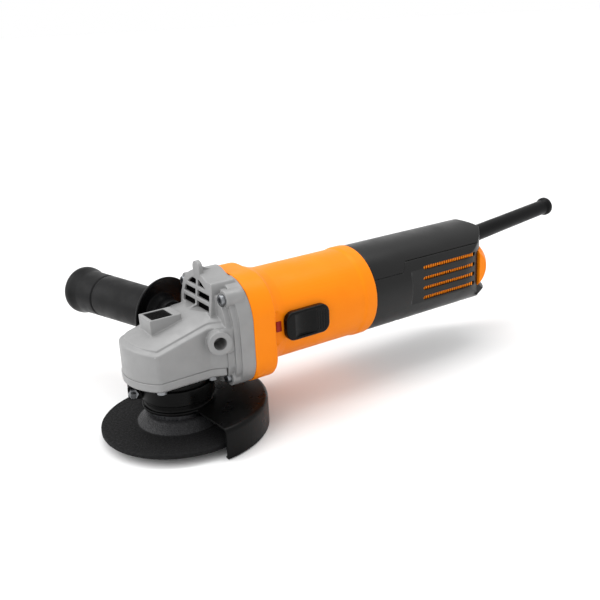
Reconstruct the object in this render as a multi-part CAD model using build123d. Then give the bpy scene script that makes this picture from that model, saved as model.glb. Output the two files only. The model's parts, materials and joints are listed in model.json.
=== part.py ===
from build123d import *
import os
from math import acos, atan2, cos, pi, radians, sin, sqrt, tan

# Angle grinder of the 100 mm wheel class, in millimetres.
# Everything is drawn with X along the motor axis towards the tail, Y across and Z up, from the point
# where the spindle axis crosses the motor axis. save() then lifts it so that the row's origin is on
# the spindle axis, at the middle of the free thread under the flange nut.
MOTOR_AXIS_Z = 58.0

# Running and assembly gaps
FIT = 0.02            # radial gap between pieces of one body
RUN = 0.04            # radial gap of a running fit

# Gear head
NOSE_R = 32.6         # plan radius of the nose about the spindle axis
FLANK_Y = 24.5        # half width of the head
SEAM_Z = -17.0        # joint between gear housing and bearing cap
CAVITY_R = 21.2       # room for the crown gear
CREST_SLOPE = 15.0    # degrees, the roof rises towards the motor
CREST_Z = 10.0        # height of the roof's crest over the spindle axis
CROWN_R = 55.0        # radius of the roof across the head
NOSE_CORNER_R = 4.5
RIM_WIDTH = 3.2       # border round the raised middle of the roof
RIM_STEP = 0.9

# Screw flange and outlet arch
FLANGE_X0 = 20.0
FLANGE_X1 = 38.5      # joint between gear housing and motor housing
FLANGE_HALF = 34.0
FLANGE_TOP_R = 25.0
FLANGE_BOTTOM_R = 18.0
FLANGE_SCREW_X = 24.0
FLANGE_SCREW_Y = 24.8
FLANGE_SCREW_Z = 25.4
ARCH_HALF = 19.5
ARCH_TOP_Z = 38.5
ARCH_LEAN = 8.0       # degrees, the slotted wall leans back
ARCH_FOOT_X = 16.6

# Handle bosses and side handle
BOSS_X = 15.9
BOSS_Z = 1.2
BOSS_FACE_Y = 32.3
BOSS_R = 7.4
BOSS_LEAN = 15.0      # degrees, both bosses point a little forwards
THREAD_R = 4.0        # M8
THREAD_DEPTH = 15.0

# Spindle lock
LOCK_X = -10.5
BLOCK_TOP_Z = 17.0
PAD_X0 = -15.0
PAD_X1 = -1.4
PAD_HALF = 6.7

# Spindle stack, downwards
SPINDLE_TOP_Z = 5.0
BEARING_TOP_Z = -15.0
BEARING_WIDTH = 9.0
BEARING_R = 15.0
NECK_R = 20.0
CAP_BOTTOM_Z = -22.6
NECK_BOTTOM_Z = -41.0
SEAT_Z = -47.6        # where the wheel's hub rests on the inner flange
HUB_THICK = 3.4
NUT_BOTTOM_Z = -56.0
SPINDLE_END_Z = -60.5
SPINDLE_R = 5.0       # M10
NOSE_THREAD_R = 4.8   # free thread under the nut, at its mean radius
WHEEL_R = 50.0
WHEEL_BORE_R = 8.0
WHEEL_TOP_Z = -53.8
WHEEL_BOTTOM_Z = -56.8

# Guard
GUARD_R = 56.2
GUARD_WALL = 1.6
GUARD_TOP_Z = -41.5
GUARD_BOTTOM_Z = -61.3
GUARD_START = -87.5   # degrees about the spindle, from the tail direction
GUARD_SWEEP = 180.0
CLAMP_ANGLE = 158.0   # where the clamp ears stand

# Bevel gears
PINION_TEETH = 12
CROWN_TEETH = 37
MODULE = 1.05
PRESSURE = 20.0
PINION_SHIFT = 0.3
BACKLASH = 0.16
FACE_WIDTH = 5.5

# Motor housing
BAND_END_X = 55.0
BAND_END_R = 2.0
BARREL_R = 30.7
BARREL_END_X = 137.5
LUG_X1 = 52.0         # end of the screw lugs inside the band
SWITCH_X0 = 54.0
SWITCH_X1 = 97.0
SLIDER_X0 = 61.6
SLIDER_X1 = 94.6
SLIDER_HALF_Z = 9.6

# Tail
TAIL_R = 31.0
TAIL_END_X = 254.5
TAIL_ROUND_X = 222.0
SEAM_LOW_Z = 12.8
SEAM_HIGH_Z = 19.0
SEAM_STEP_X = 163.0
PANEL_X0 = 170.0
SLOT_X0 = 182.0
SLOT_X1 = 234.0
SLOT_Z = (12.3, 4.6, -2.8, -10.0)
SLOT_HALF = 1.2
INSERT_TOP_Z = 13.0
INSERT_BOTTOM_Z = -14.5
SLEEVE_X = 262.0
SLEEVE_Z = 17.4
SLEEVE_RISE = 6.0     # degrees
SLEEVE_LENGTH = 82.0
SLEEVE_R = 6.2
SLEEVE_SEAT_R = 7.8
CORD_R = 3.6

# Details of the arch, the screws and the small rooms in the gear head
ARCH_RISE = 15.0
TAB_R = 4.4
TAB_Z = 40.6
SLOT_INNER_Y = 1.2
SLOT_OUTER_Y = 17.0
OUTLET_SLOT_Z = (18.0, 24.6, 31.2)
OUTLET_SLOT_HALF = 2.0
CAP_SCREWS = ((-19.0, -19.6), (-19.0, 19.6), (14.5, -20.6), (14.5, 20.6))
CAP_SCREW_R = 1.9
CAP_REACH = 0.5         # the cap stands this far out of the housing all round
CAP_SCREW_TOP_Z = -7.0
PINION_ROOM_R = 8.8
BUSH_R = 6.0
LOCK_PIN_R = 1.5
SPRING_WELL_R = 3.4
PAD_BOTTOM_Z = 11.6
PIN_TIP_Z = -6.2
GEAR_WEB_Z = -7.2
GEAR_BACK_Z = -13.6
SEAL_R = 12.0
FLANGE_TOP_Z = -43.0
COLLAR_TOP_Z = -24.4
BAND_LOW_Z = -37.0
BAND_HIGH_Z = -27.4
EAR_GAP = 2.4
EAR_R = 31.0
EAR_BOLT_R = 27.6
EAR_BOLT_Z = -32.2

# Motor, along X
PINION_BORE_R = 3.0
FRONT_SHAFT_R = 4.5
SHAFT_R = 5.2
REAR_SHAFT_R = 3.5
PINION_BACK_X = 22.4
PINION_NUT_X0 = 9.7
PINION_NUT_WIDTH = 3.4
FRONT_BEARING_X0 = 24.0
FRONT_BEARING_R = 13.0
REAR_BEARING_X0 = 150.0
REAR_BEARING_X1 = 156.0
FAN_X0 = 40.5
FAN_X1 = 50.0
FAN_R = 26.0
FAN_ROOM_R = 30.0
BAFFLE_X0 = 51.0
CORE_X0 = 74.0
CORE_X1 = 114.0
ARMATURE_R = 15.0
COMMUTATOR_X0 = 125.0
COMMUTATOR_X1 = 140.0
COMMUTATOR_R = 11.0
BRUSH_X = 132.5
BORE_R = 28.1
STATOR_FLAT_Y = 24.0
STATOR_BOLT_Z = 24.2
CARRIER_R = 27.6
CARRIER_X1 = 158.0
SLEEVE_OUT_R = 11.0
BAND_HALF = 34.4
ROD_OUT_Y = -26.0
ROD_END_X = 176.0

# Small pieces in the tail
TAIL_WALL = 2.4
TAIL_CORNER_R = 13.4
TAIL_CLEAR = 0.6       # the plan and side outlines stand this far off the round bar they trim
PANEL_Y = 28.4
INSERT_X0 = 240.0
INSERT_BOW = 5.8       # how far the rear window bows out at half height
LIP = ((-14.5, 1.0), (-18.0, 3.9), (-22.5, 0.0))   # height and reach of the ledge under the window
LINER_X0 = 179.0
TAIL_SCREWS = ((168.0, -14.0), (168.0, 14.0), (232.0, -13.0), (232.0, 13.0))
TAIL_SCREW_TOP_Z = 25.0
TAIL_HEAD_Z = -24.0
CORD_CLAMP_X = 243.0
CORD_CLAMP_Y = 9.5
CORD_CLAMP_Z = 7.6

os.makedirs("parts", exist_ok=True)


def save(name, *solids):
    """Write one sub-part, lifted to the row's own origin."""
    shapes = [Pos(0, 0, MOTOR_AXIS_Z) * solid for solid in solids]
    shape = shapes[0] if len(shapes) == 1 else Compound(children=shapes)
    export_step(shape, f"parts/{name}.step")


def rod_x(radius, x0, x1, y=0.0, z=0.0):
    return Pos((x0 + x1) / 2, y, z) * Rot(0, 90, 0) * Cylinder(radius, x1 - x0)


def rod_y(radius, y0, y1, x=0.0, z=0.0):
    return Pos(x, (y0 + y1) / 2, z) * Rot(90, 0, 0) * Cylinder(radius, y1 - y0)


def rod_z(radius, z0, z1, x=0.0, y=0.0):
    return Pos(x, y, (z0 + z1) / 2) * Cylinder(radius, z1 - z0)


def block(x0, x1, y0, y1, z0, z1):
    return Pos((x0 + x1) / 2, (y0 + y1) / 2, (z0 + z1) / 2) * Box(x1 - x0, y1 - y0, z1 - z0)


def turned_x(*points):
    """Solid of revolution about the motor axis from (x, radius) points."""
    return revolve(make_face(Polyline(*points, close=True)), Axis.X)


def turned_z(*points):
    """Solid of revolution about the spindle axis from (radius, z) points."""
    outline = Polyline(*[(r, 0, z) for r, z in points], close=True)
    return revolve(make_face(outline), Axis.Z)


def tube_x(outer, inner, x0, x1):
    return turned_x((x0, inner), (x1, inner), (x1, outer), (x0, outer))


def tube_z(outer, inner, z0, z1):
    return turned_z((inner, z0), (inner, z1), (outer, z1), (outer, z0))


def ball_bearing(inner, outer, width, balls):
    """Outer ring with its balls, and the inner ring, about Z and centred on the origin."""
    pitch = (inner + outer) / 2
    ball = (outer - inner) * 0.27
    race = ball + 0.03
    groove = Torus(pitch, race)
    ring_wall = (outer - inner) * 0.27
    outer_ring = tube_z(outer, outer - ring_wall, -width / 2, width / 2) - groove
    inner_ring = tube_z(inner + ring_wall, inner, -width / 2, width / 2) - groove
    set_of_balls = [loc * Sphere(ball) for loc in PolarLocations(pitch, balls)]
    return outer_ring, inner_ring, set_of_balls


def four(offset_a, offset_b):
    return [(a, b) for a in (-offset_a, offset_a) for b in (-offset_b, offset_b)]


# ---------------------------------------------------------------- gear head

def head_outline():
    """Plan of the gear head: a round nose between two flanks that widen into the flange."""
    corner_x = -sqrt(NOSE_R ** 2 - FLANK_Y ** 2)
    flare_x = 13.0
    right = [(corner_x, -FLANK_Y), (flare_x, -FLANK_Y), (FLANGE_X0 + 6, -31.0)]
    left = [(x, -y) for x, y in reversed(right)]
    face = make_face(ThreePointArc(left[-1], (-NOSE_R, 0), right[0]) + Polyline(*right, *left))
    face = fillet(face.vertices().filter_by(lambda v: v.X < -1), NOSE_CORNER_R)
    return fillet(face.vertices().filter_by(lambda v: abs(v.X - flare_x) < 1), 9.0)


def roof(raise_by=0.0):
    """Everything under the crowned roof that slopes up towards the motor."""
    bar = Rot(0, 90, 0) * Cylinder(CROWN_R, 160)
    return Pos(0, 0, CREST_Z + raise_by - CROWN_R) * Rot(0, -CREST_SLOPE, 0) * bar


def under_roof(plan, raise_by, edge_r):
    """The plan's prism up to the roof, with a rounded top edge."""
    prism = extrude(Pos(0, 0, SEAM_Z) * plan, 60) & roof(raise_by)
    return fillet(prism.faces().sort_by(Axis.Z)[-1].edges(), edge_r)


def section(half_y, half_z, top_r, bottom_r):
    """Rounded-square outline across the motor axis."""
    face = Rectangle(2 * half_y, 2 * half_z)
    face = fillet(face.vertices().filter_by(lambda v: v.Y > 0), top_r)
    return fillet(face.vertices().filter_by(lambda v: v.Y < -half_z + 0.01), bottom_r)


def prism_x(face, x0, x1):
    return extrude(Plane.YZ.offset(x0) * face, x1 - x0)


def flange_section(grow):
    return section(FLANGE_HALF + grow, FLANGE_HALF + grow, FLANGE_TOP_R + grow, FLANGE_BOTTOM_R + grow)


def arch_section(half, top_z, foot_z):
    """Window outline with a flattened round top, across the motor axis."""
    spring_z = top_z - ARCH_RISE
    shoulder = (half * cos(pi / 4), spring_z + ARCH_RISE * sin(pi / 4))
    path = Polyline((half, spring_z), (half, foot_z), (-half, foot_z), (-half, spring_z))
    top = Spline((half, spring_z), shoulder, (0, top_z), (-shoulder[0], shoulder[1]), (-half, spring_z),
                 tangents=[(0, 1), (0, -1)])
    return make_face(path + top)


def behind_arch_front(shift):
    """Half space behind the leaning slotted wall, moved back by shift."""
    slab = block(0, 60, -40, 40, -40, 40)
    return Pos(ARCH_FOOT_X + shift, 0, 10) * Rot(0, ARCH_LEAN, 0) * slab


def outlet_slots():
    """Six slots in the slotted wall, the top two cut off by its arch."""
    window = prism_x(arch_section(SLOT_OUTER_Y, ARCH_TOP_Z - 4.6, 5), 9, 24)
    bars = [block(9, 24, *sorted((side * SLOT_INNER_Y, side * SLOT_OUTER_Y)),
                  z - OUTLET_SLOT_HALF, z + OUTLET_SLOT_HALF)
            for z in OUTLET_SLOT_Z for side in (-1, 1)]
    return [bar & window for bar in bars]


def boss_frame(side):
    """Frame at the boss mouth, its Z pointing out of the threaded hole."""
    lean = radians(BOSS_LEAN)
    out = (-sin(lean), side * cos(lean), 0)
    return Plane(origin=(BOSS_X, side * BOSS_FACE_Y, BOSS_Z), x_dir=(0, 0, 1), z_dir=out)


def hanging_tab():
    """Round-topped tab over the slotted wall, with a web that slopes down behind it."""
    web = Polyline((22.0, 41.5), (33.0, 37.0), (22.0, 34.0), close=True)
    plate = block(19.8, 22.6, -TAB_R, TAB_R, 30, TAB_Z) + rod_x(TAB_R, 19.8, 22.6, z=TAB_Z)
    return plate + extrude(Plane.XZ * make_face(web), 1.6, both=True)


def gear_housing():
    plan = head_outline()
    body = under_roof(plan, 0, 1.2) + under_roof(offset(plan, -RIM_WIDTH), RIM_STEP, 0.5)
    body += prism_x(flange_section(0), 29.0, FLANGE_X1)
    body += prism_x(flange_section(-1.6), 25.5, 29.0)
    body += prism_x(flange_section(-4.0), FLANGE_X0 + 1.5, 25.5)
    body += prism_x(arch_section(ARCH_HALF, ARCH_TOP_Z, 0), 10, FLANGE_X1 - 2) & behind_arch_front(0)
    body += hanging_tab()
    body += block(-17.2, 3.4, -8.3, 8.3, -2, BLOCK_TOP_Z)
    for y, z in four(FLANGE_SCREW_Y, FLANGE_SCREW_Z):
        body += rod_x(5.4, FLANGE_SCREW_X, FLANGE_X1 - 3, y, z)
    for side in (-1, 1):
        body += boss_frame(side) * Pos(0, 0, -10) * Cylinder(BOSS_R, 20)
        rib = block(BOSS_X, 30, *sorted((side * 20, side * (BOSS_FACE_Y - 1.0))),
                    BOSS_Z - BOSS_R - 0.8, BOSS_Z + BOSS_R + 0.8)
        body += chamfer(rib.edges().filter_by(Axis.X), 1.0)

    rooms = rod_z(CAVITY_R, SEAM_Z - 1, -1)                      # crown gear
    rooms += rod_x(PINION_ROOM_R, 9, 23)                         # pinion and its nut
    rooms += rod_z(BUSH_R + FIT, -2, SPINDLE_TOP_Z + 0.6)        # spindle bush
    rooms += rod_x(6.5, 22, FRONT_BEARING_X0 + 1)
    rooms += rod_x(FRONT_BEARING_R + FIT, FRONT_BEARING_X0, 34)
    rooms += rod_x(FAN_ROOM_R, 33.5, FLANGE_X1 + 1)              # fan chamber
    rooms += block(PAD_X0 - 0.3, PAD_X1 + 0.3, -PAD_HALF - 0.3, PAD_HALF + 0.3, 8.0, 30)
    rooms += rod_z(SPRING_WELL_R, 2.5, 9, LOCK_X)
    rooms += rod_z(NECK_R + 3.8, -45, CAP_BOTTOM_Z - 1.2)        # the guard's clamp band turns here
    rooms += rod_z(LOCK_PIN_R + RUN, -2, 3, LOCK_X)
    duct = prism_x(arch_section(ARCH_HALF - 2.6, ARCH_TOP_Z - 2.6, 15.7), 10, FLANGE_X1 + 1)
    rooms += duct & behind_arch_front(1.8)
    for x, y in CAP_SCREWS:
        rooms += rod_z(CAP_SCREW_R + FIT, SEAM_Z - 1, CAP_SCREW_TOP_Z + 0.3, x, y)
    for y, z in four(FLANGE_SCREW_Y, FLANGE_SCREW_Z):
        rooms += rod_x(2.0 + FIT, FLANGE_SCREW_X - 1, FLANGE_X1 + 1, y, z)
        rooms += rod_x(3.9, 10, FLANGE_SCREW_X, y, z)
    for side in (-1, 1):
        rooms += boss_frame(side) * Pos(0, 0, -THREAD_DEPTH / 2) * Cylinder(THREAD_R, THREAD_DEPTH)
    for slot in outlet_slots():
        rooms += slot
    return body - rooms


def bearing_cap():
    """Plate that closes the gear cavity, with the neck that holds the bearing and takes the guard."""
    height = SEAM_Z - CAP_BOTTOM_Z
    plate = extrude(Pos(0, 0, CAP_BOTTOM_Z) * offset(head_outline(), CAP_REACH), height)
    plate &= block(-50, FLANGE_X0 + 0.6, -50, 50, CAP_BOTTOM_Z, SEAM_Z)
    plate = chamfer(plate.faces().sort_by(Axis.Z)[0].outer_wire().edges(), 1.0)
    neck = rod_z(NECK_R, NECK_BOTTOM_Z, CAP_BOTTOM_Z) + rod_z(19.0, SEAM_Z - 0.5, BEARING_TOP_Z)
    rooms = rod_z(BEARING_R + FIT, BEARING_TOP_Z - BEARING_WIDTH, 0)
    rooms += rod_z(SEAL_R + FIT, NECK_BOTTOM_Z - 1, -20)
    for x, y in CAP_SCREWS:
        rooms += rod_z(CAP_SCREW_R + FIT, -30, 0, x, y)
    return plate + neck - rooms


def socket_screw(shank_r, head_r, head_height, length, socket_r):
    """Cap screw along Z: head from 0 up, shank below, with its hexagon socket."""
    head = rod_z(head_r, 0, head_height)
    head = chamfer(head.edges().sort_by(Axis.Z)[-1], 0.4)
    socket = Pos(0, 0, head_height * 0.4) * extrude(RegularPolygon(socket_r, 6), head_height)
    return head + rod_z(shank_r, -length, 0.1) - socket


def cap_screws():
    screw = socket_screw(CAP_SCREW_R, 3.1, 2.8, CAP_SCREW_TOP_Z - CAP_BOTTOM_Z, 1.7)
    return [Pos(x, y, CAP_BOTTOM_Z) * Rot(180, 0, 0) * screw for x, y in CAP_SCREWS]


def flange_screws():
    screw = socket_screw(2.0, 3.4, 2.6, 26.0, 1.8)
    places = [Pos(FLANGE_SCREW_X, y, z) * Rot(0, -90, 0) for y, z in four(FLANGE_SCREW_Y, FLANGE_SCREW_Z)]
    return [place * screw for place in places]


# ---------------------------------------------------------------- spindle lock

def lock_button():
    """Pressing pad with fine cross ribs, and a skirt over the return spring."""
    pad = block(PAD_X0, PAD_X1, -PAD_HALF, PAD_HALF, PAD_BOTTOM_Z, BLOCK_TOP_Z - 0.4)
    pad = fillet(pad.edges().filter_by(Axis.Z), 1.2)
    ribs = int((2 * PAD_HALF - 2) / 1.6)
    for i in range(ribs):
        y = -PAD_HALF + 1.6 + 1.6 * i
        pad -= block(PAD_X0 + 1, PAD_X1 - 1, y - 0.35, y + 0.35, BLOCK_TOP_Z - 0.9, BLOCK_TOP_Z)
    pad -= rod_z(SPRING_WELL_R, PAD_BOTTOM_Z - 1, PAD_BOTTOM_Z + 1.5, LOCK_X)
    return pad - rod_z(LOCK_PIN_R + FIT, 0, PAD_BOTTOM_Z + 3, LOCK_X)


def lock_pin():
    return rod_z(LOCK_PIN_R, PIN_TIP_Z, PAD_BOTTOM_Z + 3, LOCK_X)


def lock_spring():
    coil_r = 2.7
    wire_r = 0.3
    low = 2.5 + wire_r + 0.1
    high = PAD_BOTTOM_Z + 1.5 - wire_r - 0.1
    helix = Pos(LOCK_X, 0, low) * Helix(pitch=(high - low) / 5, height=high - low, radius=coil_r)
    start = Plane(origin=helix @ 0, z_dir=helix % 0)
    return sweep(start * Circle(wire_r), path=helix)


# ---------------------------------------------------------------- bevel gears

def bevel_gear(teeth, mate_teeth, shift, thin):
    """Straight bevel teeth about +Z with the cone apex at the origin, opening towards +Z.

    Each tooth is an involute profile on the back cone (Tredgold), tapering to the apex.
    The tooth set and the cone distance come back for the caller to put on a blank.
    """
    pitch_r = MODULE * teeth / 2
    cone = atan2(teeth, mate_teeth)
    distance = pitch_r / sin(cone)
    virtual_r = pitch_r / cos(cone)
    pressure = radians(PRESSURE)
    base_r = virtual_r * cos(pressure)
    tip_r = virtual_r + MODULE * (1.0 + shift)
    root_r = virtual_r - MODULE * (1.25 - shift)
    half_pitch_angle = (pi / 2 * MODULE + 2 * MODULE * shift * tan(pressure) - thin) / (2 * virtual_r)

    def half_angle(r):
        """Half the tooth's width, as an angle, at radius r on the back cone."""
        here = acos(min(1.0, base_r / r))
        return half_pitch_angle + (tan(pressure) - pressure) - (tan(here) - here)

    start_r = max(base_r, root_r)
    flank = [start_r + (tip_r - start_r) * i / 4 for i in range(5)]
    side = [(r * cos(half_angle(r)) - virtual_r, r * sin(half_angle(r))) for r in flank]
    deep_r = root_r - 0.35 * MODULE
    foot = (deep_r * cos(half_angle(start_r)) - virtual_r, deep_r * sin(half_angle(start_r)))
    outline = [foot] + side
    outline += [(u, -v) for u, v in reversed(outline)]
    inner = 1 - FACE_WIDTH / distance

    def tooth_face(scale):
        points = []
        for u, v in outline:
            radius = pitch_r + u * cos(cone)
            height = distance * cos(cone) - u * sin(cone)
            points.append((radius * scale, v * scale, height * scale))
        return make_face(Polyline(*points, close=True))

    tooth = loft([tooth_face(1.0), tooth_face(inner)], ruled=True)
    return [Rot(0, 0, 360 / teeth * i) * tooth for i in range(teeth)], cone, distance, inner


def cone_point(distance, cone, depth):
    """(radius, height) of a point on the pitch cone's element, sunk by depth square to it."""
    return distance * sin(cone) - depth * cos(cone), distance * cos(cone) + depth * sin(cone)


def crown_gear():
    """Driven gear, its teeth facing up at the pinion, on the spindle."""
    half_tooth = 180 / CROWN_TEETH
    teeth, cone, distance, inner = bevel_gear(CROWN_TEETH, PINION_TEETH, -PINION_SHIFT, BACKLASH)
    root = MODULE * (1.25 + PINION_SHIFT)
    outer_r, outer_h = cone_point(distance, cone, root)
    inner_r, inner_h = cone_point(distance * inner, cone, root * inner)
    back_h = -GEAR_BACK_Z
    blank = turned_z((SPINDLE_R + FIT, -GEAR_WEB_Z), (inner_r - 0.6, -GEAR_WEB_Z), (inner_r, inner_h),
                     (outer_r, outer_h), (outer_r + 1.0, outer_h + 2.5), (outer_r - 0.5, back_h),
                     (8.0, back_h), (8.0, -BEARING_TOP_Z - 0.1), (SPINDLE_R + FIT, -BEARING_TOP_Z - 0.1))
    for tooth in teeth:
        blank += tooth
    gear = Rot(180, 0, 0) * Rot(0, 0, half_tooth) * blank
    for i in range(4):
        gear -= Rot(0, 0, 90 * i) * rod_z(LOCK_PIN_R + 0.5, -20, 0, LOCK_X)
    return gear


def pinion():
    """Driving gear on the armature shaft, one tooth pointing straight down into the crown gear."""
    teeth, cone, distance, inner = bevel_gear(PINION_TEETH, CROWN_TEETH, PINION_SHIFT, BACKLASH)
    root = MODULE * (1.25 - PINION_SHIFT)
    outer_r, outer_h = cone_point(distance, cone, root)
    inner_r, inner_h = cone_point(distance * inner, cone, root * inner)
    blank = turned_z((PINION_BORE_R + FIT, inner_h), (inner_r, inner_h), (outer_r, outer_h),
                     (outer_r, PINION_BACK_X), (PINION_BORE_R + FIT, PINION_BACK_X))
    for tooth in teeth:
        blank += tooth
    return Rot(0, 90, 0) * blank


# ---------------------------------------------------------------- spindle and wheel

def spindle():
    shoulder_top = BEARING_TOP_Z - BEARING_WIDTH - 0.1
    upper = [(0, SPINDLE_TOP_Z), (3.6, SPINDLE_TOP_Z), (4.0, SPINDLE_TOP_Z - 0.4), (4.0, -5.0),
             (SPINDLE_R, -5.0), (SPINDLE_R, shoulder_top), (8.0, shoulder_top), (8.0, FLANGE_TOP_Z)]
    nose = [(SPINDLE_R, FLANGE_TOP_Z), (SPINDLE_R, NUT_BOTTOM_Z), (NOSE_THREAD_R, NUT_BOTTOM_Z),
            (NOSE_THREAD_R, SPINDLE_END_Z + 0.5), (NOSE_THREAD_R - 0.5, SPINDLE_END_Z), (0, SPINDLE_END_Z)]
    bar = turned_z(*upper, *nose)
    groove = tube_z(SPINDLE_R + 1, SPINDLE_R - 0.5, -6.0, -5.4)
    return bar - groove


def gear_circlip():
    ring = tube_z(6.6, SPINDLE_R - 0.45, -5.95, -5.45)
    return ring - block(4, 8, -1.2, 1.2, -7, -5)


def inner_flange():
    top = FLANGE_TOP_Z - 0.1
    rim = [(SPINDLE_R + FIT, top), (13.0, top), (18.4, top - 1.5), (19.0, top - 2.1), (19.0, SEAT_Z)]
    spigot_r = WHEEL_BORE_R - FIT
    spigot = [(spigot_r, SEAT_Z), (spigot_r, SEAT_Z - 3.0), (SPINDLE_R + FIT, SEAT_Z - 3.0)]
    return turned_z(*rim, *spigot)


def grinding_disc():
    """Depressed-centre wheel: raised hub, conical shoulder and flat rim."""
    hub_bottom = SEAT_Z - HUB_THICK
    above = [(WHEEL_BORE_R + FIT, SEAT_Z), (20.5, SEAT_Z), (22.0, SEAT_Z - 0.5), (26.6, WHEEL_TOP_Z + 0.5),
             (28.2, WHEEL_TOP_Z), (WHEEL_R - 0.4, WHEEL_TOP_Z), (WHEEL_R, WHEEL_TOP_Z - 0.4)]
    below = [(WHEEL_R, WHEEL_BOTTOM_Z + 0.3), (WHEEL_R - 0.3, WHEEL_BOTTOM_Z), (26.4, WHEEL_BOTTOM_Z),
             (24.6, WHEEL_BOTTOM_Z + 0.6), (20.2, hub_bottom), (WHEEL_BORE_R + FIT, hub_bottom)]
    return turned_z(*above, *below)


def flange_nut():
    """Round nut with a wide clamping flange and four holes for its pin spanner."""
    top = SEAT_Z - HUB_THICK
    nut = turned_z((SPINDLE_R + FIT, top), (17.0, top), (17.0, top - 2.6), (16.0, top - 3.2),
                   (12.0, top - 3.2), (11.4, NUT_BOTTOM_Z), (SPINDLE_R + FIT, NUT_BOTTOM_Z))
    for location in PolarLocations(14.2, 4, start_angle=45):
        nut -= location * Pos(0, 0, top - 2.5) * Cylinder(1.3, 4)
    return nut


# ---------------------------------------------------------------- guard

def guard_sector(r_out, z_low, z_high):
    """Wedge of a cylinder that the guard's open drum fills."""
    reach = 1.5 * r_out
    angles = [radians(GUARD_START + GUARD_SWEEP * i / 4) for i in range(5)]
    corners = [(reach * cos(angle), reach * sin(angle)) for angle in angles]
    outline = make_face(Polyline((0, 0), *corners, close=True))
    return extrude(Pos(0, 0, z_low) * outline, z_high - z_low)


def wheel_guard():
    """Pressed guard: collar on the neck, top plate, rounded shoulder, skirt and a curled lip."""
    collar_r = NECK_R + 0.05
    inner_r = GUARD_R - GUARD_WALL
    inner_z = GUARD_TOP_Z - GUARD_WALL
    round_r = 3.0
    drum = rod_z(GUARD_R, GUARD_BOTTOM_Z, GUARD_TOP_Z)
    drum = fillet(drum.edges().sort_by(Axis.Z)[-1], round_r)
    room = rod_z(inner_r, GUARD_BOTTOM_Z - 1, inner_z)
    room = fillet(room.edges().sort_by(Axis.Z)[-1], round_r - GUARD_WALL)
    lip = tube_z(inner_r + 0.1, inner_r - 1.4, GUARD_BOTTOM_Z, GUARD_BOTTOM_Z + 1.4)
    drum = (drum - room + lip) & guard_sector(GUARD_R, GUARD_BOTTOM_Z - 1, GUARD_TOP_Z + 1)
    collar = tube_z(collar_r + 1.4, collar_r, GUARD_TOP_Z, COLLAR_TOP_Z)
    base = tube_z(collar_r + 3.0, collar_r, inner_z, GUARD_TOP_Z + 0.4)
    return drum + collar + base - rod_z(collar_r, -60, -20)


def around_clamp(shape):
    return Rot(0, 0, CLAMP_ANGLE) * shape


def guard_band():
    inner = NECK_R + 1.5
    band = tube_z(inner + 1.6, inner, BAND_LOW_Z, BAND_HIGH_Z)
    ears = block(inner + 0.6, EAR_R, -EAR_GAP / 2 - 2.2, EAR_GAP / 2 + 2.2, BAND_LOW_Z, BAND_HIGH_Z)
    ears = fillet(ears.edges().filter_by(Axis.Y).sort_by(Axis.X)[-2:], 2.5)
    split = block(inner - 2, EAR_R + 1, -EAR_GAP / 2, EAR_GAP / 2, BAND_LOW_Z - 1, BAND_HIGH_Z + 1)
    hole = rod_y(1.8, -10, 10, x=EAR_BOLT_R, z=EAR_BOLT_Z)
    return around_clamp(band + ears - split - hole)


def guard_clamp_screw():
    screw = socket_screw(1.75, 3.0, 2.6, 12.5, 1.5)
    seat_y = -EAR_GAP / 2 - 2.2
    return around_clamp(Pos(EAR_BOLT_R, seat_y, EAR_BOLT_Z) * Rot(90, 0, 0) * screw)


def guard_clamp_nut():
    seat_y = EAR_GAP / 2 + 2.2
    nut = extrude(RegularPolygon(3.2, 6) - Circle(1.75 + FIT), 2.8)
    return around_clamp(Pos(EAR_BOLT_R, seat_y + 2.8, EAR_BOLT_Z) * Rot(90, 0, 0) * nut)


# ---------------------------------------------------------------- motor

def armature_shaft():
    start = PINION_NUT_X0 - 0.6
    shoulder = PINION_BACK_X + 0.1
    end = REAR_BEARING_X1 + 1.5
    return turned_x((start, 0), (start, PINION_BORE_R), (shoulder, PINION_BORE_R), (shoulder, FRONT_SHAFT_R),
                    (34.0, FRONT_SHAFT_R), (34.0, SHAFT_R), (142.0, SHAFT_R), (142.0, REAR_SHAFT_R),
                    (end, REAR_SHAFT_R), (end, 0))


def pinion_nut():
    nut = extrude(RegularPolygon(4.6, 6) - Circle(PINION_BORE_R + FIT), PINION_NUT_WIDTH)
    return Pos(PINION_NUT_X0, 0, 0) * Rot(0, 90, 0) * nut


def armature_core():
    """Slotted lamination stack."""
    core = tube_x(ARMATURE_R, SHAFT_R + FIT, CORE_X0, CORE_X1)
    for i in range(12):
        slot = block(CORE_X0 - 1, CORE_X1 + 1, -0.9, 0.9, ARMATURE_R - 5, ARMATURE_R + 1)
        core -= Rot(30 * i, 0, 0) * slot
    return core


def armature_windings():
    inner = SHAFT_R + 0.2
    ring = turned_x((0.1, inner), (0.1, 13.4), (5.0, 12.6), (8.0, 9.0), (8.0, inner))
    return [Pos(CORE_X0, 0, 0) * Rot(0, 180, 0) * ring, Pos(CORE_X1, 0, 0) * ring]


def commutator():
    drum = tube_x(COMMUTATOR_R, SHAFT_R + FIT, COMMUTATOR_X0, COMMUTATOR_X1)
    groove = block(COMMUTATOR_X0 - 1, COMMUTATOR_X1 + 1, -0.2, 0.2, COMMUTATOR_R - 0.7, COMMUTATOR_R + 1)
    for i in range(24):
        drum -= Rot(15 * i, 0, 0) * groove
    return drum


def cooling_fan():
    """Radial fan: a back plate, a hub and straight blades."""
    fan = tube_x(FAN_R, SHAFT_R + FIT, FAN_X1 - 1.6, FAN_X1) + tube_x(9, SHAFT_R + FIT, FAN_X0 + 1, FAN_X1)
    blades = 17
    for i in range(blades):
        fan += Rot(360 / blades * i, 0, 0) * block(FAN_X0, FAN_X1 - 1, -0.6, 0.6, 13, FAN_R - 0.5)
    return fan


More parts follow.
